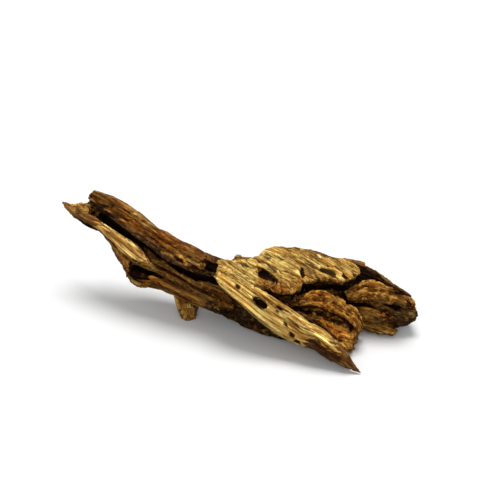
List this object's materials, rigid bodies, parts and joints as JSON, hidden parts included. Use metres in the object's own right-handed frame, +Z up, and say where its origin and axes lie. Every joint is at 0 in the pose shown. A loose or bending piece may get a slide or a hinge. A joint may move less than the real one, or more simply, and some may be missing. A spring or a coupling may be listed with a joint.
{
  "type": "agarwood piece",
  "caption": "Irregular hollowed shard of resinous agarwood: a raised splintered gutter that runs into a broad roofed shell with an open rotted cavity, a long spike and rough lobes.",
  "frame": {"origin": "centre of the bounding box on the floor the piece rests on", "axes": "+X along the grain towards the open end of the cavity, +Y to the back, +Z up"},
  "size_m": [0.1258, 0.0426, 0.0378],
  "materials": {
    "wood": "weathered, streaked with dark resin"
  },
  "bodies": {
    "root": {"agarwood_piece": "wood"}
  },
  "joints": []
}
